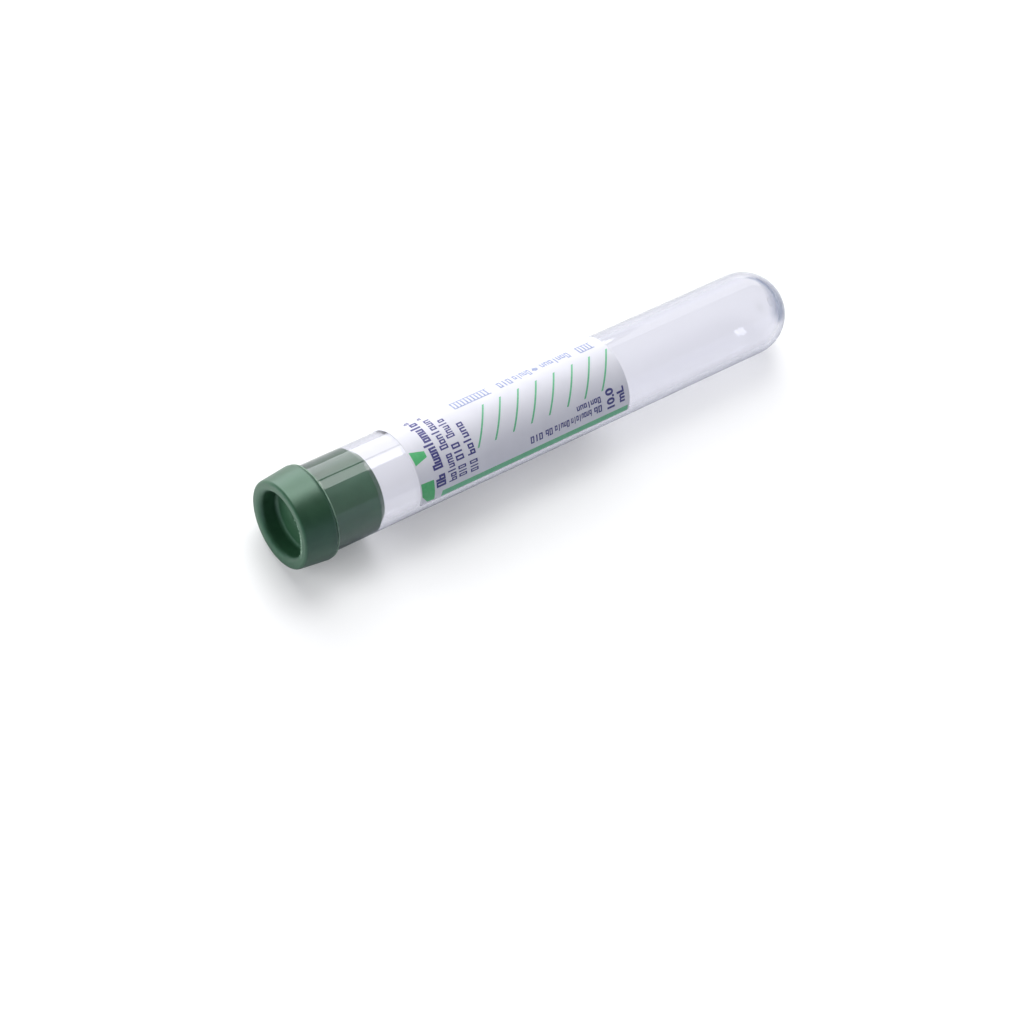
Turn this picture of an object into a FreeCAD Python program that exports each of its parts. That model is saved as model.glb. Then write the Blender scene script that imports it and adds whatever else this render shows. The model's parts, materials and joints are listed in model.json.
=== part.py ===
"""Blood collection tube, 16 x 100 mm size, with a conventional one-piece rubber stopper.

Three pieces: a moulded clear plastic tube, a moulded rubber stopper and a paper label.
Each piece is drawn on the tube's own axis: X runs from the mouth to the round end, with x = 0 at the top
of the lip. The finished pieces are then laid down as the tube comes to rest on a table: on the widest
ring of the stopper's head and on the round end, with the origin on the table below the middle.
Lengths are in millimetres and angles in degrees.
"""

import FreeCAD, Part

import math
import os

from FreeCAD import Placement, Rotation, Vector

# Tube: an open moulded shell that narrows slightly from its mouth to its round end
TUBE_LENGTH = 100.0
MOUTH_RADIUS = 7.75
END_RADIUS = 7.48
BORE_MOUTH_RADIUS = 6.80
BORE_END_RADIUS = 6.45
BOTTOM_THICKNESS = 1.03
LIP_ROUND = 0.35
GATE_RADIUS = 0.9
GATE_HEIGHT = 0.12
TUBE_SEAM = 3.0

# Stopper head: wider at the shoulder that sits on the lip than at its top, with a well for the needle
HEAD_HEIGHT = 6.4
SHOULDER_RADIUS = 8.55
SHOULDER_ROUND = 0.75
TOP_RADIUS = 8.0
TOP_OUTER_ROUND = 0.55
LAND_INNER_RADIUS = 6.9
WELL_RADIUS = 5.85
WELL_DEPTH = 3.6
WELL_FLOOR_ROUND = 0.8

# Stopper plug: follows the bore, with a lead-in at its end and a recess up its middle
PLUG_CLEARANCE = 0.04
PLUG_LENGTH = 10.4
LEAD_IN_LENGTH = 1.0
LEAD_IN_DEPTH = 0.55
RECESS_RADIUS = 4.7
RECESS_DEPTH = 7.0
RECESS_ROUND = 1.2
RECESS_EDGE_ROUND = 0.3
STOPPER_SEAM = 0.0

# Label: paper stuck on one side of the tube, leaving the other side clear to see the blood through.
# The gap under it is its glue.
LABEL_START = 17.0
LABEL_END = 61.2
LABEL_THICKNESS = 0.1
GLUE_THICKNESS = 0.03
LABEL_FIRST_EDGE = -87.0
LABEL_WRAP = 157.0

AXIS_START = Vector(0, 0, 0)
AXIS = Vector(1, 0, 0)


def at(x, r):
    """A point of a profile: x along the axis and r out from it, in the plane that stands on the axis."""
    return Vector(x, 0, r)


def line(start, end):
    return Part.LineSegment(start, end).toShape()


def arc(start, middle, end):
    return Part.Arc(start, middle, end).toShape()


def round_arc(centre_x, centre_r, radius, from_deg, to_deg):
    """An arc of a profile. Angles are counted from the axis direction towards the outside."""

    def on_arc(deg):
        turn = math.radians(deg)
        return at(centre_x + radius * math.cos(turn), centre_r + radius * math.sin(turn))

    return arc(on_arc(from_deg), on_arc((from_deg + to_deg) / 2), on_arc(to_deg))


def turned(edges, seam, wrap=360.0):
    """The solid that a closed profile sweeps round the axis, from a start that is seam degrees off the top
    towards -Y. The seams make a faceted copy of the tube lie on a facet and one of the stopper on an edge,
    which keeps both from rolling.
    """
    face = Part.Face(Part.Wire(Part.__sortEdges__(edges)))
    solid = face.revolve(AXIS_START, AXIS, wrap)
    solid = Part.Solid(solid.Shells[0]) if solid.ShapeType != "Solid" else solid
    solid.rotate(AXIS_START, AXIS, seam)
    return solid


def joined(points_and_arcs):
    """Edges of a closed profile from a list that mixes points and arcs: straight runs fill every gap."""
    edges = []
    here = None
    first = None
    for item in points_and_arcs:
        is_point = isinstance(item, Vector)
        start = item if is_point else item.valueAt(item.FirstParameter)
        if here is not None and here.distanceToPoint(start) > 1e-6:
            edges.append(line(here, start))
        if first is None:
            first = start
        if is_point:
            here = item
        else:
            edges.append(item)
            here = item.valueAt(item.LastParameter)
    if here.distanceToPoint(first) > 1e-6:
        edges.append(line(here, first))
    return edges


END_CENTRE = TUBE_LENGTH - END_RADIUS
BORE_END_CENTRE = TUBE_LENGTH - BOTTOM_THICKNESS - BORE_END_RADIUS


def outer_radius(x):
    """The tube's outside radius at x, on its drafted length."""
    return MOUTH_RADIUS + (END_RADIUS - MOUTH_RADIUS) * x / END_CENTRE


def bore_radius(x):
    """The tube's bore radius at x, on its drafted length."""
    return BORE_MOUTH_RADIUS + (BORE_END_RADIUS - BORE_MOUTH_RADIUS) * x / BORE_END_CENTRE


def make_tube():
    profile = [
        round_arc(LIP_ROUND, MOUTH_RADIUS - LIP_ROUND, LIP_ROUND, 180, 90),
        round_arc(END_CENTRE, 0, END_RADIUS, 90, 0),
        round_arc(BORE_END_CENTRE, 0, BORE_END_RADIUS, 0, 90),
        round_arc(LIP_ROUND, BORE_MOUTH_RADIUS + LIP_ROUND, LIP_ROUND, 270, 180),
    ]
    shell = turned(joined(profile), TUBE_SEAM)
    gate_foot = math.sqrt(END_RADIUS**2 - GATE_RADIUS**2) + END_CENTRE - GATE_HEIGHT
    gate_length = TUBE_LENGTH + GATE_HEIGHT - gate_foot
    gate = Part.makeCylinder(GATE_RADIUS, gate_length, at(gate_foot, 0), AXIS)
    return shell.fuse(gate).removeSplitter().Solids[0]


def make_stopper():
    top = -HEAD_HEIGHT
    plug_start = bore_radius(0) - PLUG_CLEARANCE
    lead_in = PLUG_LENGTH - LEAD_IN_LENGTH
    plug_end = bore_radius(lead_in) - PLUG_CLEARANCE
    land_outer = TOP_RADIUS - TOP_OUTER_ROUND
    well_floor = top + WELL_DEPTH
    crest_round = LAND_INNER_RADIUS - WELL_RADIUS
    recess_roof = PLUG_LENGTH - RECESS_DEPTH
    profile = [
        at(well_floor, 0),
        round_arc(well_floor - WELL_FLOOR_ROUND, WELL_RADIUS - WELL_FLOOR_ROUND, WELL_FLOOR_ROUND, 0, 90),
        round_arc(top + crest_round, LAND_INNER_RADIUS, crest_round, 270, 180),
        round_arc(top + TOP_OUTER_ROUND, land_outer, TOP_OUTER_ROUND, 180, 90),
        round_arc(-SHOULDER_ROUND, SHOULDER_RADIUS - SHOULDER_ROUND, SHOULDER_ROUND, 90, 0),
        at(0, plug_start),
        at(lead_in, plug_end),
        at(PLUG_LENGTH, plug_end - LEAD_IN_DEPTH),
        round_arc(
            PLUG_LENGTH - RECESS_EDGE_ROUND, RECESS_RADIUS + RECESS_EDGE_ROUND, RECESS_EDGE_ROUND, 0, -90
        ),
        round_arc(recess_roof + RECESS_ROUND, RECESS_RADIUS - RECESS_ROUND, RECESS_ROUND, 90, 180),
        at(recess_roof, 0),
    ]
    return turned(joined(profile), STOPPER_SEAM)


def make_label():
    inner_start = outer_radius(LABEL_START) + GLUE_THICKNESS
    inner_end = outer_radius(LABEL_END) + GLUE_THICKNESS
    profile = [
        at(LABEL_START, inner_start),
        at(LABEL_END, inner_end),
        at(LABEL_END, inner_end + LABEL_THICKNESS),
        at(LABEL_START, inner_start + LABEL_THICKNESS),
    ]
    return turned(joined(profile), -LABEL_FIRST_EDGE, -LABEL_WRAP)


def rest_placement():
    """Lays the tube down on its shoulder ring and its round end, with the origin below the middle."""
    ring_reach = SHOULDER_RADIUS - SHOULDER_ROUND
    span = END_CENTRE + SHOULDER_ROUND
    drop = END_RADIUS - SHOULDER_ROUND
    lean = math.atan2(ring_reach, span) - math.asin(drop / math.hypot(ring_reach, span))
    lowered = Rotation(Vector(0, 1, 0), math.degrees(lean))
    lip_height = END_RADIUS + END_CENTRE * math.sin(lean)
    near_end = -HEAD_HEIGHT * math.cos(lean) - (TOP_RADIUS - TOP_OUTER_ROUND) * math.sin(lean)
    far_end = (TUBE_LENGTH + GATE_HEIGHT) * math.cos(lean) + GATE_RADIUS * math.sin(lean)
    return Placement(Vector(-(near_end + far_end) / 2, 0, lip_height), lowered)


os.makedirs("parts", exist_ok=True)
placement = rest_placement()
pieces = {"tube": make_tube(), "stopper": make_stopper(), "label": make_label()}
for node, shape in pieces.items():
    shape.Placement = placement.multiply(shape.Placement)
    shape.exportStep("parts/" + node + ".step")
    box = shape.optimalBoundingBox()
    print(
        node,
        "valid" if shape.isValid() else "NOT VALID",
        shape.ShapeType,
        "volume %.1f" % shape.Volume,
        "x %.3f %.3f y %.3f %.3f z %.3f %.3f" % (box.XMin, box.XMax, box.YMin, box.YMax, box.ZMin, box.ZMax),
    )
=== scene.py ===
import json
import math
import random

import bmesh
import bpy
from mathutils import Matrix, Vector


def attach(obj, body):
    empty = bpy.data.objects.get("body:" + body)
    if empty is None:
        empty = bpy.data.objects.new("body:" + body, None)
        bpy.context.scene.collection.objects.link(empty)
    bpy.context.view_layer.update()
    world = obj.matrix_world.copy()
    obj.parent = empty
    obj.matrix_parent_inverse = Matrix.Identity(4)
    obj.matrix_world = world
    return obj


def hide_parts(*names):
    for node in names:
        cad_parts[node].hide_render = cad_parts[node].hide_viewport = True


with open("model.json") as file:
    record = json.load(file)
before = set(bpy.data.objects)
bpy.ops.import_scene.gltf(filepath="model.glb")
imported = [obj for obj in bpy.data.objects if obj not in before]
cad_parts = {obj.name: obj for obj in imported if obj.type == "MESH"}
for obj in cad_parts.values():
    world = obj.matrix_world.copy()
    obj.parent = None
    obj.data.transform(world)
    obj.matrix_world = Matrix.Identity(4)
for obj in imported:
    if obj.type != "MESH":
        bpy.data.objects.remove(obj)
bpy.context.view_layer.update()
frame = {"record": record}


# ---------------------------------------------------------------------------------------------
# The clear tube. The real one is moulded from clear polyester: a long shell, narrower towards its
# round end so that it leaves the mould, with a small broken-off gate stub in the middle of that
# end. Every other piece is fixed to it.
MM = 0.001
TUBE_LENGTH = 100.0
MOUTH_RADIUS = 7.75
END_RADIUS = 7.48
BORE_MOUTH_RADIUS = 6.80
BORE_END_RADIUS = 6.45
BORE_LENGTH = 98.97
LIP_ROUND = 0.35
GATE_RADIUS = 0.9
GATE_HEIGHT = 0.12
GATE_TAPER = 0.94
TUBE_RINGS = (0.6, 1.2, 3, 12, 30, 50, 70, 85, 90, 91.6, 92.3)
TURNS = 360

# Each piece is made in millimetres on the tube's own axis, x from the lip to the round end, and then laid
# down with that axis where the frame has it. The barrel mount sits on the axis.
BARREL_STATION = 77.0
barrel = next(m for m in frame["record"]["mounts"] if m["name"] == "barrel")
tube_axis = Vector(barrel["axis"]).normalized()
sideways = Vector((0, 1, 0))
laid = Matrix((tube_axis, sideways, tube_axis.cross(sideways))).transposed().to_4x4()
laid.translation = Vector(barrel["pos_m"]) - tube_axis * BARREL_STATION * MM
laid = laid @ Matrix.Scale(MM, 4)


def outer_radius(x):
    """The tube's outside radius at x millimetres from the lip."""
    return MOUTH_RADIUS + (END_RADIUS - MOUTH_RADIUS) * x / (TUBE_LENGTH - END_RADIUS)


def bore_radius(x):
    """The tube's inside radius at x millimetres from the lip."""
    return BORE_MOUTH_RADIUS + (BORE_END_RADIUS - BORE_MOUTH_RADIUS) * x / (BORE_LENGTH - BORE_END_RADIUS)


def cut_through(bm, place, normal):
    """Cuts every face of a piece along a plane, and keeps both sides."""
    bmesh.ops.bisect_plane(bm, geom=bm.verts[:] + bm.edges[:] + bm.faces[:], plane_co=place, plane_no=normal)


def turned(corners, rings):
    """A closed mesh turned from the corners (x, r, rounding, steps) of half its section.
    Rings are where its long walls are cut across, which keeps their shading even."""
    bm = bmesh.new()
    made = [bm.verts.new((x, 0, r)) for x, r, rounding, steps in corners]
    for start, end in zip(made, made[1:]):
        bm.edges.new((start, end))
    for corner, (x, r, rounding, steps) in zip(made, corners):
        if rounding:
            bmesh.ops.bevel(bm, geom=[corner], offset=rounding, segments=steps, profile=0.5,
                            affect="VERTICES", material=-1)
    bmesh.ops.spin(bm, geom=bm.verts[:] + bm.edges[:], cent=(0, 0, 0), axis=(1, 0, 0),
                   angle=math.tau, steps=TURNS, use_merge=True)
    bmesh.ops.remove_doubles(bm, verts=bm.verts[:], dist=0.00002)
    bmesh.ops.recalc_face_normals(bm, faces=bm.faces[:])
    for x in rings:
        cut_through(bm, (x, 0, 0), (1, 0, 0))
    return bm


def finished(bm, name, material, body, sharp_deg=40):
    """The piece laid down in its place, smooth but for edges sharper than sharp_deg, riding on its body."""
    bm.transform(laid)
    mesh = bpy.data.meshes.new(name)
    bm.to_mesh(mesh)
    bm.free()
    mesh.shade_smooth()
    mesh.set_sharp_from_angle(angle=math.radians(sharp_deg))
    mesh.materials.append(material)
    piece = bpy.data.objects.new(name, mesh)
    bpy.context.scene.collection.objects.link(piece)
    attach(piece, body)
    return piece


def node(tree, kind, values=None, **settings):
    """A shader node with the values of its inputs by name, and its own settings."""
    made = tree.nodes.new(kind)
    for key, setting in settings.items():
        setattr(made, key, setting)
    for key, value in (values or {}).items():
        made.inputs[key].default_value = value
    return made


def new_material(name):
    material = bpy.data.materials.new(name)
    material.use_nodes = True
    material.node_tree.nodes.clear()
    return material, material.node_tree


# Clear polyester: faintly lilac, with long shallow waves from the mould. Where its outer wall is seen edge on
# its colour turns slate blue: painted shade for the darker edges that a dim room gives real plastic.
# Lamps shine through it as through tinted film, a little less where they graze it.
clear_plastic, tree = new_material("clear_plastic")
place = node(tree, "ShaderNodeTexCoord")
stretch = node(tree, "ShaderNodeMapping", {"Scale": (30, 240, 240)})
waves = node(tree, "ShaderNodeTexNoise", {"Scale": 1.0, "Detail": 0.0})
waviness = node(tree, "ShaderNodeBump", {"Strength": 0.005, "Distance": 0.00008})
outer_wall = node(tree, "ShaderNodeAttribute", attribute_name="outside")
grazing = node(tree, "ShaderNodeLayerWeight", {"Blend": 0.5})
edge_shade_amount = node(tree, "ShaderNodeMath", operation="MULTIPLY")
# The plastic's own faint lilac, then painted shade: slate blue where the outer wall is seen edge on
tint_and_edge_shade = node(tree, "ShaderNodeValToRGB")
tint_and_edge_shade.color_ramp.elements[0].position = 0.40
tint_and_edge_shade.color_ramp.elements[0].color = (0.886, 0.888, 0.934, 1)
tint_and_edge_shade.color_ramp.elements[1].position = 0.88
tint_and_edge_shade.color_ramp.elements[1].color = (0.30, 0.33, 0.42, 1)
edge_shade_stop = tint_and_edge_shade.color_ramp.elements.new(0.62)
edge_shade_stop.color = (0.57, 0.58, 0.69, 1)
polyester = node(tree, "ShaderNodeBsdfPrincipled", {
    "Roughness": 0.025,
    "IOR": 1.575,
    "Transmission Weight": 1.0,
})
shade = node(tree, "ShaderNodeValToRGB")
shade.color_ramp.elements[0].position = 0.30
shade.color_ramp.elements[0].color = (0.95, 0.95, 0.96, 1)
shade.color_ramp.elements[1].position = 0.85
shade.color_ramp.elements[1].color = (0.60, 0.60, 0.64, 1)
lamp_side = node(tree, "ShaderNodeBsdfTransparent")
rays = node(tree, "ShaderNodeLightPath")
either = node(tree, "ShaderNodeMixShader")
output = node(tree, "ShaderNodeOutputMaterial")
tree.links.new(place.outputs["Object"], stretch.inputs["Vector"])
tree.links.new(stretch.outputs["Vector"], waves.inputs["Vector"])
tree.links.new(waves.outputs["Fac"], waviness.inputs["Height"])
tree.links.new(waviness.outputs["Normal"], polyester.inputs["Normal"])
tree.links.new(outer_wall.outputs["Fac"], edge_shade_amount.inputs[0])
tree.links.new(grazing.outputs["Facing"], edge_shade_amount.inputs[1])
tree.links.new(edge_shade_amount.outputs["Value"], tint_and_edge_shade.inputs["Fac"])
tree.links.new(tint_and_edge_shade.outputs["Color"], polyester.inputs["Base Color"])
tree.links.new(grazing.outputs["Facing"], shade.inputs["Fac"])
tree.links.new(shade.outputs["Color"], lamp_side.inputs["Color"])
tree.links.new(rays.outputs["Is Shadow Ray"], either.inputs["Fac"])
tree.links.new(polyester.outputs["BSDF"], either.inputs[1])
tree.links.new(lamp_side.outputs["BSDF"], either.inputs[2])
tree.links.new(either.outputs["Shader"], output.inputs["Surface"])

tube_bm = turned(
    [
        (TUBE_LENGTH, 0, 0, 0),
        (TUBE_LENGTH, outer_radius(TUBE_LENGTH), outer_radius(TUBE_LENGTH), 44),
        (0, MOUTH_RADIUS, LIP_ROUND, 8),
        (0, BORE_MOUTH_RADIUS, LIP_ROUND, 8),
        (BORE_LENGTH, bore_radius(BORE_LENGTH), bore_radius(BORE_LENGTH), 40),
        (BORE_LENGTH, 0, 0, 0),
    ],
    TUBE_RINGS,
)
# The gate stub: the cap inside a ring of the gate's radius is drawn out of the round end.
gate_foot = TUBE_LENGTH - END_RADIUS + math.sqrt(END_RADIUS**2 - GATE_RADIUS**2)
cut_through(tube_bm, (gate_foot, 0, 0), (1, 0, 0))
gate_cap = [f for f in tube_bm.faces if f.calc_center_median().x > gate_foot]
drawn_out = bmesh.ops.extrude_face_region(tube_bm, geom=gate_cap)["geom"]
bmesh.ops.delete(tube_bm, geom=gate_cap, context="FACES_KEEP_BOUNDARY")
gate_verts = [v for v in drawn_out if isinstance(v, bmesh.types.BMVert)]
bmesh.ops.translate(tube_bm, verts=gate_verts, vec=(GATE_HEIGHT, 0, 0))
bmesh.ops.scale(tube_bm, verts=gate_verts, vec=(1, GATE_TAPER, GATE_TAPER))
# The outer wall is marked for its painted edge shade: everything further out than the middle of the wall.
wall_middle = (MOUTH_RADIUS + BORE_END_RADIUS) / 2
outside = tube_bm.verts.layers.float.new("outside")
for vert in tube_bm.verts:
    past_barrel = max(0.0, vert.co.x - (TUBE_LENGTH - END_RADIUS))
    reach = math.hypot(past_barrel, vert.co.y, vert.co.z)
    vert[outside] = float(reach > wall_middle)
tube = finished(tube_bm, "clear_tube", clear_plastic, "tube")
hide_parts("tube")


# ---------------------------------------------------------------------------------------------
# The stopper: one piece of moulded green rubber. Its plug is squeezed into the bore, its head
# stands on the lip, and the well in the head's top guides the needle to the thin middle.
# A recess up the plug makes that middle thin. It pulls straight out.
HEAD_HEIGHT = 6.4
SHOULDER_RADIUS = 8.55
SHOULDER_ROUND = 0.75
TOP_RADIUS = 8.0
TOP_OUTER_ROUND = 0.55
WELL_RADIUS = 5.85
WELL_RIM_ROUND = 1.05
WELL_DEPTH = 3.6
WELL_FLOOR_ROUND = 0.8
PLUG_LENGTH = 10.4
LEAD_IN_LENGTH = 1.0
LEAD_IN_DEPTH = 0.55
RECESS_RADIUS = 4.7
RECESS_DEPTH = 7.0
RECESS_ROUND = 1.2
RECESS_EDGE_ROUND = 0.3
LEAD_IN_ROUND = 0.25
PLUG_TIP_ROUND = 0.15
STOPPER_RINGS = (-5.6, -3.5, -1.1, 0.3, 1.5, 4.8, 8.8)
# How far the plug is bigger than the bore that squeezes it
SQUEEZE = 0.02
# A rounding as long as the side that it starts on stops just short of that side's other corner
JUST_SHORT = 0.99


def uneven_surface():
    """The group that rubber, paper and ink share: a fine noise that mixes two colours, varies the gloss
    and raises a grain."""
    group = bpy.data.node_groups.new("uneven_surface", "ShaderNodeTree")
    for name in ("Scale", "Detail", "Harshness", "From", "To", "Smooth", "Rough", "Strength", "Distance"):
        group.interface.new_socket(name=name, in_out="INPUT", socket_type="NodeSocketFloat")
    for name in ("Low Colour", "High Colour"):
        group.interface.new_socket(name=name, in_out="INPUT", socket_type="NodeSocketColor")
    group.interface.new_socket(name="Colour", in_out="OUTPUT", socket_type="NodeSocketColor")
    group.interface.new_socket(name="Roughness", in_out="OUTPUT", socket_type="NodeSocketFloat")
    group.interface.new_socket(name="Normal", in_out="OUTPUT", socket_type="NodeSocketVector")
    given = node(group, "NodeGroupInput")
    place = node(group, "ShaderNodeTexCoord")
    noise = node(group, "ShaderNodeTexNoise")
    amount = node(group, "ShaderNodeMapRange")
    colours = node(group, "ShaderNodeMixRGB")
    gloss = node(group, "ShaderNodeMapRange")
    grain = node(group, "ShaderNodeBump")
    result = node(group, "NodeGroupOutput")
    group.links.new(place.outputs["Object"], noise.inputs["Vector"])
    group.links.new(given.outputs["Scale"], noise.inputs["Scale"])
    group.links.new(given.outputs["Detail"], noise.inputs["Detail"])
    group.links.new(given.outputs["Harshness"], noise.inputs["Roughness"])
    group.links.new(noise.outputs["Fac"], amount.inputs["Value"])
    group.links.new(given.outputs["From"], amount.inputs["From Min"])
    group.links.new(given.outputs["To"], amount.inputs["From Max"])
    group.links.new(amount.outputs["Result"], colours.inputs["Fac"])
    group.links.new(given.outputs["Low Colour"], colours.inputs["Color1"])
    group.links.new(given.outputs["High Colour"], colours.inputs["Color2"])
    group.links.new(noise.outputs["Fac"], gloss.inputs["Value"])
    group.links.new(given.outputs["Smooth"], gloss.inputs["To Min"])
    group.links.new(given.outputs["Rough"], gloss.inputs["To Max"])
    group.links.new(noise.outputs["Fac"], grain.inputs["Height"])
    group.links.new(given.outputs["Strength"], grain.inputs["Strength"])
    group.links.new(given.outputs["Distance"], grain.inputs["Distance"])
    group.links.new(colours.outputs["Color"], result.inputs["Colour"])
    group.links.new(gloss.outputs["Result"], result.inputs["Roughness"])
    group.links.new(grain.outputs["Normal"], result.inputs["Normal"])
    return group


uneven = uneven_surface()

# Moulded rubber: satin, slightly mottled, with a fine grain.
green_rubber, tree = new_material("green_rubber")
mottle = node(tree, "ShaderNodeGroup", {
    "Scale": 320.0,
    "Detail": 4.0,
    "Harshness": 0.6,
    "From": 0.30,
    "To": 0.75,
    "Low Colour": (0.013, 0.048, 0.023, 1),
    "High Colour": (0.021, 0.067, 0.033, 1),
    "Smooth": 0.36,
    "Rough": 0.44,
}, node_tree=uneven)
specks = node(tree, "ShaderNodeGroup", {
    "Scale": 2600.0,
    "Detail": 3.0,
    "Harshness": 0.7,
    "Strength": 0.25,
    "Distance": 0.00003,
}, node_tree=uneven)
rubber = node(tree, "ShaderNodeBsdfPrincipled", {"IOR": 1.85, "Specular Tint": (0.72, 1.0, 0.84, 1)})
output = node(tree, "ShaderNodeOutputMaterial")
tree.links.new(mottle.outputs["Colour"], rubber.inputs["Base Color"])
tree.links.new(mottle.outputs["Roughness"], rubber.inputs["Roughness"])
tree.links.new(specks.outputs["Normal"], rubber.inputs["Normal"])
tree.links.new(rubber.outputs["BSDF"], output.inputs["Surface"])

plug_tip_start = PLUG_LENGTH - LEAD_IN_LENGTH
stopper_bm = turned(
    [
        (WELL_DEPTH - HEAD_HEIGHT, 0, 0, 0),
        (WELL_DEPTH - HEAD_HEIGHT, WELL_RADIUS, WELL_FLOOR_ROUND, 8),
        (-HEAD_HEIGHT, WELL_RADIUS, WELL_RIM_ROUND, 10),
        (-HEAD_HEIGHT, TOP_RADIUS, TOP_OUTER_ROUND * JUST_SHORT, 8),
        (TOP_OUTER_ROUND - HEAD_HEIGHT, TOP_RADIUS, 0, 0),
        (-SHOULDER_ROUND, SHOULDER_RADIUS, 0, 0),
        (0, SHOULDER_RADIUS, SHOULDER_ROUND * JUST_SHORT, 8),
        (SQUEEZE, bore_radius(0) + SQUEEZE, 0, 0),
        (plug_tip_start, bore_radius(plug_tip_start) + SQUEEZE, LEAD_IN_ROUND, 4),
        (PLUG_LENGTH, bore_radius(PLUG_LENGTH) - LEAD_IN_DEPTH, PLUG_TIP_ROUND, 3),
        (PLUG_LENGTH, RECESS_RADIUS, RECESS_EDGE_ROUND, 4),
        (PLUG_LENGTH - RECESS_DEPTH, RECESS_RADIUS, RECESS_ROUND, 8),
        (PLUG_LENGTH - RECESS_DEPTH, 0, 0, 0),
    ],
    STOPPER_RINGS,
)
stopper = finished(stopper_bm, "rubber_stopper", green_rubber, "stopper")
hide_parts("stopper")

# Flash: a thread of rubber squeezed out round the shoulder's foot where the mould closes. Its pale colour
# is a painted highlight: the thin line of light along the shoulder's foot.
pale_rubber_painted_highlight, tree = new_material("pale_rubber_painted_highlight")
highlight_mottle = node(tree, "ShaderNodeGroup", {
    "Scale": 700.0,
    "Detail": 3.0,
    "Harshness": 0.5,
    "From": 0.35,
    "To": 0.65,
    "Low Colour": (0.10, 0.19, 0.13, 1),
    "High Colour": (0.26, 0.38, 0.29, 1),
    "Smooth": 0.30,
    "Rough": 0.45,
}, node_tree=uneven)
highlit_rubber = node(tree, "ShaderNodeBsdfPrincipled")
output = node(tree, "ShaderNodeOutputMaterial")
tree.links.new(highlight_mottle.outputs["Colour"], highlit_rubber.inputs["Base Color"])
tree.links.new(highlight_mottle.outputs["Roughness"], highlit_rubber.inputs["Roughness"])
tree.links.new(highlit_rubber.outputs["BSDF"], output.inputs["Surface"])

FLASH_RING = 8.34
FLASH_RADIUS = 0.12
FLASH_STATION = -0.10
flash_bm = bmesh.new()
flash_place = Matrix.Translation((FLASH_STATION, 0, FLASH_RING)) @ Matrix.Rotation(math.pi / 2, 4, "X")
bmesh.ops.create_circle(flash_bm, segments=10, radius=FLASH_RADIUS, matrix=flash_place)
bmesh.ops.spin(flash_bm, geom=flash_bm.verts[:] + flash_bm.edges[:], cent=(0, 0, 0), axis=(1, 0, 0),
               angle=math.tau, steps=TURNS, use_merge=True)
bmesh.ops.recalc_face_normals(flash_bm, faces=flash_bm.faces[:])
finished(flash_bm, "stopper_flash", pale_rubber_painted_highlight, "stopper", 180)

# Wear: crumbs of rubber that the needles have torn loose cling inside the well's rim, on one side. Turns
# are counted round the well from its top, and slopes round the rim's curve from the well's wall.
CRUMBS = 120
CRUMB_SIZES = (0.08, 0.22)
CRUMB_FLATNESS = (0.5, 1)
CRUMB_TURNS = (-98, -25)
CRUMB_MOST = -75
CRUMB_SLOPES = (50, 88)
CRUMB_STAND = 0.06
chance = random.Random(16)
crumb_bm = bmesh.new()
for crumb in range(CRUMBS):
    turn = math.radians(chance.triangular(*CRUMB_TURNS, CRUMB_MOST))
    slope = math.radians(chance.uniform(*CRUMB_SLOPES))
    size = chance.uniform(*CRUMB_SIZES)
    width = size * chance.uniform(*CRUMB_FLATNESS)
    height = size * chance.uniform(*CRUMB_FLATNESS)
    reach = WELL_RADIUS + WELL_RIM_ROUND * (1 - math.cos(slope))
    inward = max(WELL_RIM_ROUND * (1 - math.sin(slope)), size - CRUMB_STAND)
    spot = Matrix.Translation((inward - HEAD_HEIGHT, reach * math.sin(turn), reach * math.cos(turn)))
    spun = Matrix.Rotation(chance.uniform(0, math.tau), 4, "Z")
    tipped = Matrix.Rotation(chance.uniform(0, math.tau), 4, "X")
    lump = spot @ spun @ tipped @ Matrix.Diagonal((size, width, height, 1))
    bmesh.ops.create_icosphere(crumb_bm, subdivisions=1, radius=1, matrix=lump)
# The crumbs share the flash's pale rubber, so its painted highlight shows them as light specks.
finished(crumb_bm, "stopper_crumbs", pale_rubber_painted_highlight, "stopper", 20)


# ---------------------------------------------------------------------------------------------
# The label: white coated paper with a clear glue, pressed on to one side of the tube, so that
# the blood can be seen through the other. It is cut flat and then bent round the tube.
LABEL_START = 17.0
LABEL_END = 61.2
LABEL_FIRST_EDGE = -87.0
LABEL_WRAP = 157.0
LABEL_FACE = 0.13
LABEL_BACK = -0.01
LABEL_RINGS = (18, 30, 45, 60)
BEND_RADIUS = 7.85
BEND_STEP = 1.5


def around(degrees):
    """Millimetres along the bent paper from the top line of the tube, for an angle round it."""
    return math.radians(degrees) * BEND_RADIUS


def flat_block(bm, x_from, x_to, deg_from, deg_to, low, high):
    """A flat rectangle of paper or ink: its length along the tube, its angles round it, its two faces."""
    middle = Vector(((x_from + x_to) / 2, around((deg_from + deg_to) / 2), (low + high) / 2))
    size = Matrix.Diagonal((x_to - x_from, around(deg_to - deg_from), high - low, 1))
    bmesh.ops.create_cube(bm, size=1, matrix=Matrix.Translation(middle) @ size)


def bent_round(bm):
    """Bends flat paper or ink round the tube, after cutting it across into narrow facets."""
    lowest = min(v.co.y for v in bm.verts)
    highest = max(v.co.y for v in bm.verts)
    step = around(BEND_STEP)
    for cut in range(math.ceil(lowest / step), math.floor(highest / step) + 1):
        cut_through(bm, (0, cut * step, 0), (0, 1, 0))
    for vert in bm.verts:
        x, along, height = vert.co
        reach = outer_radius(x) + height
        turn = along / BEND_RADIUS
        vert.co = (x, reach * math.sin(turn), reach * math.cos(turn))


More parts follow.
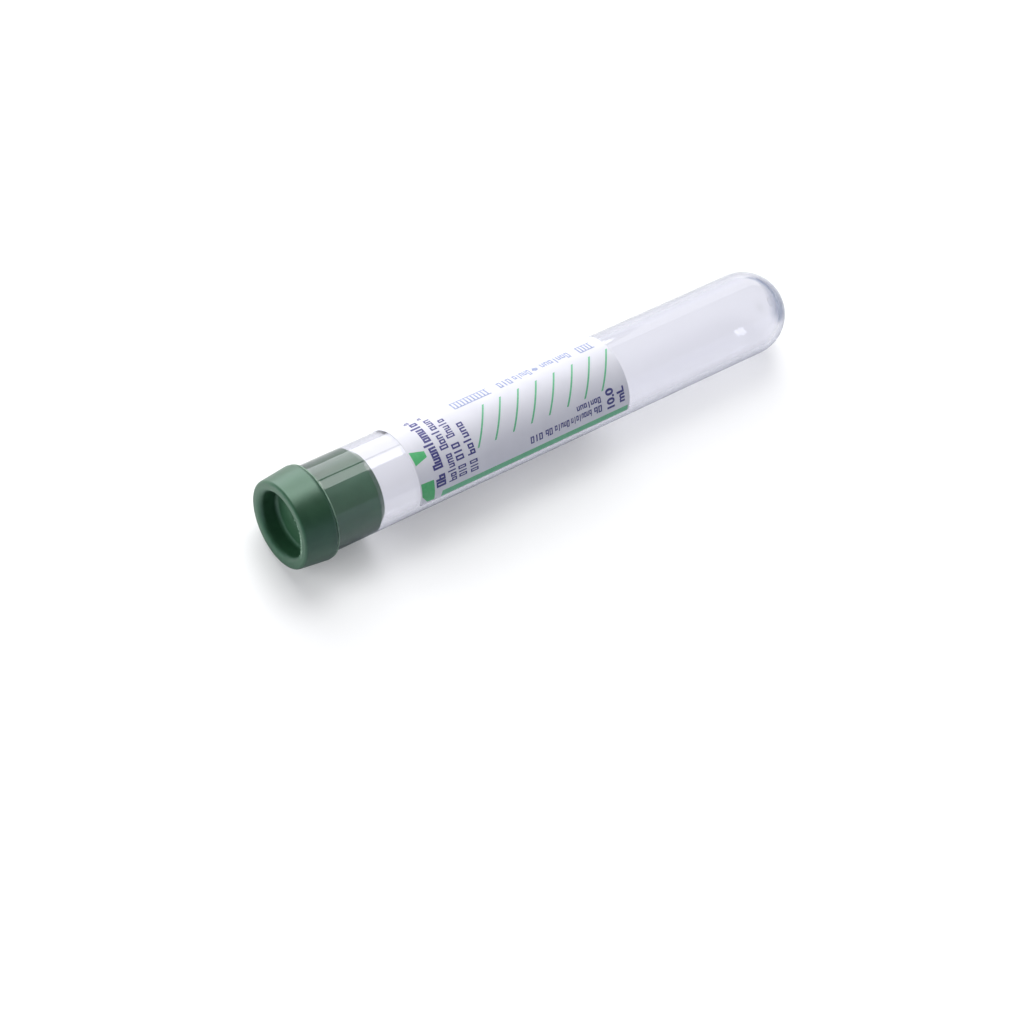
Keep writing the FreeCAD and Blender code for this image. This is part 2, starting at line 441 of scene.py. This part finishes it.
# Coated paper: almost white with a cold tint, and fine fibres under the coat.
label_paper, tree = new_material("label_paper")
clouds = node(tree, "ShaderNodeGroup", {
    "Scale": 260.0,
    "Detail": 2.0,
    "Harshness": 0.5,
    "From": 0.30,
    "To": 0.70,
    "Low Colour": (0.618, 0.618, 0.670, 1),
    "High Colour": (0.650, 0.650, 0.702, 1),
}, node_tree=uneven)
fibres = node(tree, "ShaderNodeGroup", {
    "Scale": 1800.0,
    "Detail": 4.0,
    "Harshness": 0.65,
    "Smooth": 0.50,
    "Rough": 0.62,
    "Strength": 0.20,
    "Distance": 0.00002,
}, node_tree=uneven)
paper = node(tree, "ShaderNodeBsdfPrincipled")
output = node(tree, "ShaderNodeOutputMaterial")
tree.links.new(clouds.outputs["Colour"], paper.inputs["Base Color"])
tree.links.new(fibres.outputs["Roughness"], paper.inputs["Roughness"])
tree.links.new(fibres.outputs["Normal"], paper.inputs["Normal"])
tree.links.new(paper.outputs["BSDF"], output.inputs["Surface"])

label_bm = bmesh.new()
flat_block(label_bm, LABEL_START, LABEL_END, LABEL_FIRST_EDGE, LABEL_FIRST_EDGE + LABEL_WRAP,
           LABEL_BACK, LABEL_FACE)
for ring in LABEL_RINGS:
    cut_through(label_bm, (ring, 0, 0), (1, 0, 0))
bent_round(label_bm)
label = finished(label_bm, "paper_label", label_paper, "tube")
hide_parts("label")


# ---------------------------------------------------------------------------------------------
# The green print: two wedges at the stopper's end that show how the label is turned, a long
# stripe down one edge, and a row of slanted lines. A thin layer of ink on the paper.
INK_LOW = 0.125
INK_HIGH = 0.137
SLANT_FEET = (29.4, 33.0, 36.8, 40.6, 44.4, 48.3, 52.0, 55.7)
SLANT_SHIFT = 4.75
SLANT_WIDTH = 0.40
SLANT_TOP = 8.0
SLANT_FOOT = -41.0
INK_GLOSS_RANGE = 0.12


def printing_ink(name, thick_colour, thin_colour, roughness):
    """Printing ink on coated paper: a solid colour that the paper's grain leaves a little uneven."""
    material, tree = new_material(name)
    cover = node(tree, "ShaderNodeGroup", {
        "Scale": 2200.0,
        "Detail": 4.0,
        "Harshness": 0.6,
        "From": 0.40,
        "To": 0.75,
        "Low Colour": (*thick_colour, 1),
        "High Colour": (*thin_colour, 1),
        "Smooth": roughness,
        "Rough": roughness + INK_GLOSS_RANGE,
        "Strength": 0.15,
        "Distance": 0.00001,
    }, node_tree=uneven)
    ink = node(tree, "ShaderNodeBsdfPrincipled")
    output = node(tree, "ShaderNodeOutputMaterial")
    tree.links.new(cover.outputs["Colour"], ink.inputs["Base Color"])
    tree.links.new(cover.outputs["Roughness"], ink.inputs["Roughness"])
    tree.links.new(cover.outputs["Normal"], ink.inputs["Normal"])
    tree.links.new(ink.outputs["BSDF"], output.inputs["Surface"])
    return material


def flat_shape(bm, outline):
    """A flat patch of ink from the corners of its outline, each at x along the tube and an angle round it."""
    corners = [bm.verts.new((x, around(degrees), INK_LOW)) for x, degrees in outline]
    patch = bm.faces.new(corners)
    raised = bmesh.ops.extrude_face_region(bm, geom=[patch])["geom"]
    raised_verts = [v for v in raised if isinstance(v, bmesh.types.BMVert)]
    bmesh.ops.translate(bm, verts=raised_verts, vec=(0, 0, INK_HIGH - INK_LOW))


green_ink = printing_ink("green_ink", (0.075, 0.42, 0.155), (0.10, 0.47, 0.19), 0.42)
green_bm = bmesh.new()
flat_shape(green_bm, [(17.2, -11), (19.9, -16.5), (19.9, -24.5), (17.3, -29.5)])
flat_shape(green_bm, [(17.2, -53.5), (19.8, -54.5), (19.8, -85), (18.3, -83.5), (17.2, -72)])
bmesh.ops.recalc_face_normals(green_bm, faces=green_bm.faces[:])
bent_round(green_bm)
finished(green_bm, "label_green_wedges", green_ink, "tube")

line_ink = printing_ink("pale_green_ink", (0.125, 0.430, 0.235), (0.165, 0.475, 0.285), 0.42)
line_bm = bmesh.new()
flat_shape(line_bm, [(21.4, -76.3), (60.9, -76.3), (60.9, -85.8), (21.2, -85.8)])
for foot in SLANT_FEET:
    top = foot + SLANT_SHIFT
    flat_shape(line_bm, [(foot, SLANT_FOOT), (foot + SLANT_WIDTH, SLANT_FOOT),
                         (top + SLANT_WIDTH, SLANT_TOP), (top, SLANT_TOP)])
bmesh.ops.recalc_face_normals(line_bm, faces=line_bm.faces[:])
bent_round(line_bm)
finished(line_bm, "label_green_lines", line_ink, "tube")


# ---------------------------------------------------------------------------------------------
# The indigo print: four rows across the label and two small ones along it. The rows stand for
# its wording, so each word is only a run of letter-sized marks, made of upright and level strokes.

# The strokes of each mark: left, low, right and high, in letter widths and in heights of the row
ROW_MARKS = {
    "frame": [
        (0.0, 0.0, 0.28, 1.0),
        (0.56, 0.0, 0.84, 1.0),
        (0.28, 0.0, 0.56, 0.18),
        (0.28, 0.82, 0.56, 1.0),
    ],
    "shelf": [
        (0.0, 0.0, 0.28, 1.0),
        (0.28, 0.0, 0.84, 0.18),
        (0.28, 0.46, 0.84, 0.64),
        (0.56, 0.18, 0.84, 0.46),
    ],
    "mast": [(0.24, 0.0, 0.54, 1.0)],
    "ring": [
        (0.0, 0.0, 0.28, 0.72),
        (0.56, 0.0, 0.84, 0.72),
        (0.28, 0.0, 0.56, 0.18),
        (0.28, 0.54, 0.56, 0.72),
    ],
    "roof": [(0.0, 0.0, 0.28, 0.72), (0.56, 0.0, 0.84, 0.72), (0.28, 0.54, 0.56, 0.72)],
    "tray": [(0.0, 0.0, 0.28, 0.72), (0.56, 0.0, 0.84, 0.72), (0.28, 0.0, 0.56, 0.18)],
}
# The marks of a word, by how many it has
WORD_PATTERNS = {
    2: ("frame", "shelf"),
    3: ("frame", "mast", "frame"),
    5: ("frame", "roof", "tray", "mast", "ring"),
    6: ("shelf", "ring", "mast", "tray", "roof", "ring"),
    7: ("frame", "ring", "roof", "mast", "ring", "tray", "roof"),
    8: ("shelf", "roof", "ring", "tray", "mast", "ring", "mast", "roof"),
    10: ("frame", "tray", "ring", "roof", "mast", "ring", "roof", "tray", "mast", "ring"),
}
# Rows across: where their tops and bases are along the tube, how bold they are, and each word's two angles
# and number of marks
ROWS_ACROSS = (
    (20.2, 22.15, 0.05, ((-68, -51, 2), (-44, 28, 10))),
    (20.2, 21.2, 0.0, ((29, 35, 2),)),
    (22.8, 24.4, 0.0, ((-68, -31, 6), (-25, 24, 7))),
    (22.8, 23.5, 0.0, ((28, 33, 2),)),
    (24.9, 26.5, 0.0, ((-67, -51, 3), (-45, -22, 3), (-15, 15, 5))),
    (27.3, 28.9, 0.0, ((-68, -51, 3), (-45, 0, 6))),
)
# Rows along: the angles of their bases and tops, and each word's two places and number of marks
ROWS_ALONG = (
    (-57.5, -67.5, ((53.4, 55.2, 2), (48.5, 53.0, 8), (45.0, 48.2, 5), (43.0, 44.6, 2), (39.8, 42.5, 3))),
    (-46, -54.5, ((50.0, 55.2, 7),)),
)


def word_across(bm, top, base, deg_from, deg_to, letters, weight):
    """A word of marks that reads round the tube, with its tops towards the stopper. Weight is what bold
    type adds to each side of a stroke, in letter widths."""
    pitch = (deg_to - deg_from) / letters
    for place_in_word, mark in enumerate(WORD_PATTERNS[letters]):
        start = deg_from + pitch * place_in_word
        for left, low, right, high in ROW_MARKS[mark]:
            flat_block(bm, base - (base - top) * high, base - (base - top) * low,
                       start + pitch * (left - weight), start + pitch * (right + weight), INK_LOW, INK_HIGH)


def word_along(bm, x_from, x_to, base, top, letters):
    """A word of marks that reads along the tube towards the stopper, with its tops at the lower angle."""
    pitch = (x_to - x_from) / letters
    for place_in_word, mark in enumerate(WORD_PATTERNS[letters]):
        start = x_to - pitch * place_in_word
        for left, low, right, high in ROW_MARKS[mark]:
            flat_block(bm, start - pitch * right, start - pitch * left,
                       base + (top - base) * high, base + (top - base) * low, INK_LOW, INK_HIGH)


indigo_ink = printing_ink("indigo_ink", (0.050, 0.048, 0.200), (0.085, 0.080, 0.260), 0.42)
indigo_bm = bmesh.new()
for top, base, weight, words in ROWS_ACROSS:
    for deg_from, deg_to, letters in words:
        word_across(indigo_bm, top, base, deg_from, deg_to, letters, weight)
for base, top, words in ROWS_ALONG:
    for x_from, x_to, letters in words:
        word_along(indigo_bm, x_from, x_to, base, top, letters)
bent_round(indigo_bm)
finished(indigo_bm, "label_indigo_rows", indigo_ink, "tube")


# ---------------------------------------------------------------------------------------------
# The volume line, "10.0" over "mL", in the same indigo. It says how much the tube draws.
# It is plain upright type, printed with the rest of the label.
TYPE_BOLDNESS = 0.04


def printed_word(bm, words, base, top, deg_from, deg_to):
    """Plain type that reads round the tube with its tops towards the stopper, fitted to its place."""
    curve = bpy.data.curves.new("type", "FONT")
    curve.body = words
    curve.offset = TYPE_BOLDNESS
    curve.extrude = 0.5
    setting = bpy.data.objects.new("type", curve)
    bpy.context.scene.collection.objects.link(setting)
    bpy.context.view_layer.update()
    mesh = bpy.data.meshes.new_from_object(setting.evaluated_get(bpy.context.evaluated_depsgraph_get()))
    bpy.data.objects.remove(setting)
    bpy.data.curves.remove(curve)
    left = min(v.co.x for v in mesh.vertices)
    right = max(v.co.x for v in mesh.vertices)
    low = min(v.co.y for v in mesh.vertices)
    high = max(v.co.y for v in mesh.vertices)
    rise = (top - base) / (high - low)
    run = around(deg_to - deg_from) / (right - left)
    mesh.transform(Matrix((
        (0, rise, 0, base - low * rise),
        (run, 0, 0, around(deg_from) - left * run),
        (0, 0, INK_HIGH - INK_LOW, (INK_HIGH + INK_LOW) / 2),
        (0, 0, 0, 1),
    )))
    bm.from_mesh(mesh)
    bpy.data.meshes.remove(mesh)


volume_bm = bmesh.new()
printed_word(volume_bm, "10.0", 58.0, 56.35, -69, -41)
printed_word(volume_bm, "mL", 60.15, 58.6, -67, -45)
bmesh.ops.remove_doubles(volume_bm, verts=volume_bm.verts[:], dist=0.0005)
bmesh.ops.recalc_face_normals(volume_bm, faces=volume_bm.faces[:])
bent_round(volume_bm)
finished(volume_bm, "label_volume_line", indigo_ink, "tube")


# ---------------------------------------------------------------------------------------------
# The overprint: a pale blue-grey row that a machine adds to the finished label. Two hatched
# boxes stand at its ends and letter-sized marks between them. It is thin, so the paper shows.
RULE_DEG = 1.8
BAR_SHARE = 0.45
SHORT_BAR_DEG = 2.2
BOX_DEG = (18.5, 33.5)
OVERPRINT_DEG = (33, 20)


def hatched_box(bm, x_from, x_to, bars):
    """A box of short bars between two rules. Every second bar is short at its far end, and the middle one
    of every three starts above the rule."""
    deg_from, deg_to = BOX_DEG
    pitch = (x_to - x_from) / bars
    flat_block(bm, x_from, x_to, deg_from, deg_from + RULE_DEG, INK_LOW, INK_HIGH)
    flat_block(bm, x_from, x_to, deg_to - RULE_DEG, deg_to, INK_LOW, INK_HIGH)
    for bar in range(bars):
        start = x_from + pitch * bar
        foot = deg_from + RULE_DEG * (bar % 3 == 1)
        head = deg_to - SHORT_BAR_DEG * (bar % 2)
        flat_block(bm, start, start + pitch * BAR_SHARE, foot, head, INK_LOW, INK_HIGH)


overprint_ink = printing_ink("overprint_ink", (0.22, 0.26, 0.43), (0.38, 0.42, 0.58), 0.5)
overprint_bm = bmesh.new()
hatched_box(overprint_bm, 29.6, 37.3, 11)
hatched_box(overprint_bm, 56.2, 59.3, 5)
word_along(overprint_bm, 39.2, 42.1, *OVERPRINT_DEG, 3)
word_along(overprint_bm, 42.6, 46.2, *OVERPRINT_DEG, 5)
flat_shape(overprint_bm, [(46.6, 26), (47.1, 23), (47.7, 24), (47.8, 29), (47.0, 31.5)])
word_along(overprint_bm, 48.4, 54.5, *OVERPRINT_DEG, 7)
bmesh.ops.recalc_face_normals(overprint_bm, faces=overprint_bm.faces[:])
bent_round(overprint_bm)
finished(overprint_bm, "label_overprint", overprint_ink, "tube")


# ---------------------------------------------------------------------------------------------
# The table: a plain white sheet that keeps the tube's soft shadow and glows a little, so that it
# stays white. Its front is painted dim for the gloss, and beyond the round end it is painted dim
# through the plastic: painted shade for the darker edges that a real room would give. Places are in metres.
SHEET_REACH = 6
GLOW_SEEN = 0.22
GLOW_THROUGH = 0.75
FRONT_FROM = 0.02
FRONT_TO = -0.03
WEDGE_SLOPE = -0.8
WEDGE_FROM = 0.056
WEDGE_TO = 0.061
floor_mesh = bpy.data.meshes.new("table")
floor_bm = bmesh.new()
bmesh.ops.create_grid(floor_bm, x_segments=1, y_segments=1, size=SHEET_REACH)
floor_bm.to_mesh(floor_mesh)
floor_bm.free()
table = bpy.data.objects.new("table", floor_mesh)
bpy.context.scene.collection.objects.link(table)
white_sheet, tree = new_material("white_sheet")
card = node(tree, "ShaderNodeBsdfDiffuse", {"Color": (0.94, 0.94, 0.94, 1)})
glow = node(tree, "ShaderNodeEmission", {"Color": (1, 1, 1, 1), "Strength": 1.0})
# Painted shade: the dim sheet that the gloss sees in front and the plastic shows beyond the round end
dim = node(tree, "ShaderNodeBsdfDiffuse", {"Color": (0.37, 0.40, 0.46, 1)})
lit = node(tree, "ShaderNodeMixShader")
place = node(tree, "ShaderNodeTexCoord")
split = node(tree, "ShaderNodeSeparateXYZ")
front = node(tree, "ShaderNodeMapRange", {"From Min": FRONT_FROM, "From Max": FRONT_TO})
sides = node(tree, "ShaderNodeMath", operation="ABSOLUTE")
spread = node(tree, "ShaderNodeMath", {1: WEDGE_SLOPE}, operation="MULTIPLY_ADD")
beyond = node(tree, "ShaderNodeMapRange", {"From Min": WEDGE_FROM, "From Max": WEDGE_TO})
through = node(tree, "ShaderNodeMath", operation="MULTIPLY")
rays = node(tree, "ShaderNodeLightPath")
seen = node(tree, "ShaderNodeMath", {1: GLOW_SEEN}, operation="MULTIPLY")
share = node(tree, "ShaderNodeMath", {1: GLOW_THROUGH}, operation="MULTIPLY_ADD")
mirrored = node(tree, "ShaderNodeMath", operation="SUBTRACT", use_clamp=True)
dimmed = node(tree, "ShaderNodeMath", operation="MULTIPLY_ADD")
either = node(tree, "ShaderNodeMixShader")
output = node(tree, "ShaderNodeOutputMaterial")
tree.links.new(place.outputs["Object"], split.inputs["Vector"])
tree.links.new(split.outputs["Y"], front.inputs["Value"])
tree.links.new(rays.outputs["Is Camera Ray"], seen.inputs[0])
tree.links.new(rays.outputs["Is Transmission Ray"], share.inputs[0])
tree.links.new(seen.outputs["Value"], share.inputs[2])
tree.links.new(share.outputs["Value"], lit.inputs["Fac"])
tree.links.new(card.outputs["BSDF"], lit.inputs[1])
tree.links.new(glow.outputs["Emission"], lit.inputs[2])
tree.links.new(rays.outputs["Is Glossy Ray"], mirrored.inputs[0])
tree.links.new(rays.outputs["Is Transmission Ray"], mirrored.inputs[1])
tree.links.new(mirrored.outputs["Value"], dimmed.inputs[0])
tree.links.new(front.outputs["Result"], dimmed.inputs[1])
tree.links.new(split.outputs["Y"], sides.inputs[0])
tree.links.new(sides.outputs["Value"], spread.inputs[0])
tree.links.new(split.outputs["X"], spread.inputs[2])
tree.links.new(spread.outputs["Value"], beyond.inputs["Value"])
tree.links.new(rays.outputs["Is Transmission Ray"], through.inputs[0])
tree.links.new(beyond.outputs["Result"], through.inputs[1])
tree.links.new(through.outputs["Value"], dimmed.inputs[2])
tree.links.new(dimmed.outputs["Value"], either.inputs["Fac"])
tree.links.new(lit.outputs["Shader"], either.inputs[1])
tree.links.new(dim.outputs["BSDF"], either.inputs[2])
tree.links.new(either.outputs["Shader"], output.inputs["Surface"])
table.data.materials.append(white_sheet)


# ---------------------------------------------------------------------------------------------
# Studio light: a softbox and a panel behind the tube, two narrow lamps above it, and two fills that
# stay out of its gloss. The room is blue-grey from the horizon to 22 degrees up and dark from 27 on,
# but the camera sees it white, and so does the plastic.
def hang_lamp(name, along, size_along, size_across, place, level):
    """A soft lamp that faces the tube from a place in metres, level times as bright as white."""
    lamp = bpy.data.lights.new(name, "AREA")
    lamp.shape = "RECTANGLE"
    lamp.size = size_along
    lamp.size_y = size_across
    lamp.energy = level * math.pi * size_along * size_across
    holder = bpy.data.objects.new(name, lamp)
    bpy.context.scene.collection.objects.link(holder)
    away = (Vector(place) - along * along.dot(Vector(place))).normalized()
    holder.matrix_world = Matrix((along, away.cross(along), away)).transposed().to_4x4()
    holder.location = place
    holder.visible_camera = False
    return holder


def long_lamp(name, x_from, x_to, distance, lean_from, lean_to, level):
    """A lamp along X between two places, seen from the tube between two angles off straight up."""
    lean = math.radians((lean_from + lean_to) / 2)
    width = 2 * distance * math.tan(math.radians((lean_to - lean_from) / 2))
    place = ((x_from + x_to) / 2, math.sin(lean) * distance, math.cos(lean) * distance)
    return hang_lamp(name, Vector((1, 0, 0)), x_to - x_from, width, place, level)


long_lamp("back_softbox", -0.05, 0.90, 1.5, 38.5, 90, 3.15).visible_transmission = False
long_lamp("back_panel", 0.92, 2.2, 1.5, 40, 90, 1.0).visible_transmission = False
long_lamp("strip", -0.05, 0.70, 1.34, 9, 34, 3.4)
long_lamp("near_strip", 0.10, 0.56, 1.30, 18, 38, 3.0).visible_transmission = False
overhead_fill = long_lamp("overhead_fill", -0.5, 1.2, 2.0, -20, 60, 1.45)
level_side = Vector((-0.27, -0.963, 0)).normalized()
head_fill = hang_lamp("head_fill", level_side, 1.0, 0.8, (-1.25, 0.35, 0.35), 7.6)
for lamp in (overhead_fill, head_fill):
    lamp.visible_glossy = False
    lamp.visible_transmission = False

world = bpy.data.worlds.new("studio")
bpy.context.scene.world = world
world.use_nodes = True
tree = world.node_tree
tree.nodes.clear()
place = node(tree, "ShaderNodeTexCoord")
split = node(tree, "ShaderNodeSeparateXYZ")
room = node(tree, "ShaderNodeValToRGB")
room.color_ramp.elements[0].position = 0.0
room.color_ramp.elements[0].color = (0.36, 0.39, 0.52, 1)
room.color_ramp.elements[1].position = 0.46
room.color_ramp.elements[1].color = (0.06, 0.065, 0.07, 1)
wall_top = room.color_ramp.elements.new(0.37)
wall_top.color = (0.36, 0.39, 0.52, 1)
inside = node(tree, "ShaderNodeBackground", {"Strength": 1.0})
white = node(tree, "ShaderNodeBackground", {"Color": (1, 1, 1, 1), "Strength": 1.0})
rays = node(tree, "ShaderNodeLightPath")
seen = node(tree, "ShaderNodeMath", operation="MAXIMUM")
either = node(tree, "ShaderNodeMixShader")
output = node(tree, "ShaderNodeOutputWorld")
tree.links.new(place.outputs["Generated"], split.inputs["Vector"])
tree.links.new(split.outputs["Z"], room.inputs["Fac"])
tree.links.new(room.outputs["Color"], inside.inputs["Color"])
tree.links.new(rays.outputs["Is Camera Ray"], seen.inputs[0])
tree.links.new(rays.outputs["Is Transmission Ray"], seen.inputs[1])
tree.links.new(seen.outputs["Value"], either.inputs["Fac"])
tree.links.new(inside.outputs["Background"], either.inputs[1])
tree.links.new(white.outputs["Background"], either.inputs[2])
tree.links.new(either.outputs["Shader"], output.inputs["Surface"])


# ---------------------------------------------------------------------------------------------
# The camera: a long lens that looks down on the tube from the stopper's side.
LENS_MM = 144.6
CAMERA_PLACE = (-0.33240, -0.27184, 0.56684)
CAMERA_RIGHT = (0.80285, -0.56291, 0.19641)
CAMERA_FORWARD = (0.45755, 0.37054, -0.80830)
camera = bpy.data.cameras.new("camera")
camera.lens = LENS_MM
camera.sensor_width = 36.0
camera.clip_start = 0.01
forward = Vector(CAMERA_FORWARD).normalized()
right = Vector(CAMERA_RIGHT).normalized()
right = (right - forward * right.dot(forward)).normalized()
stand = bpy.data.objects.new("camera", camera)
bpy.context.scene.collection.objects.link(stand)
stand.matrix_world = Matrix((right, right.cross(forward), -forward)).transposed().to_4x4()
stand.location = CAMERA_PLACE
bpy.context.scene.camera = stand
bpy.context.scene.view_settings.view_transform = "Standard"
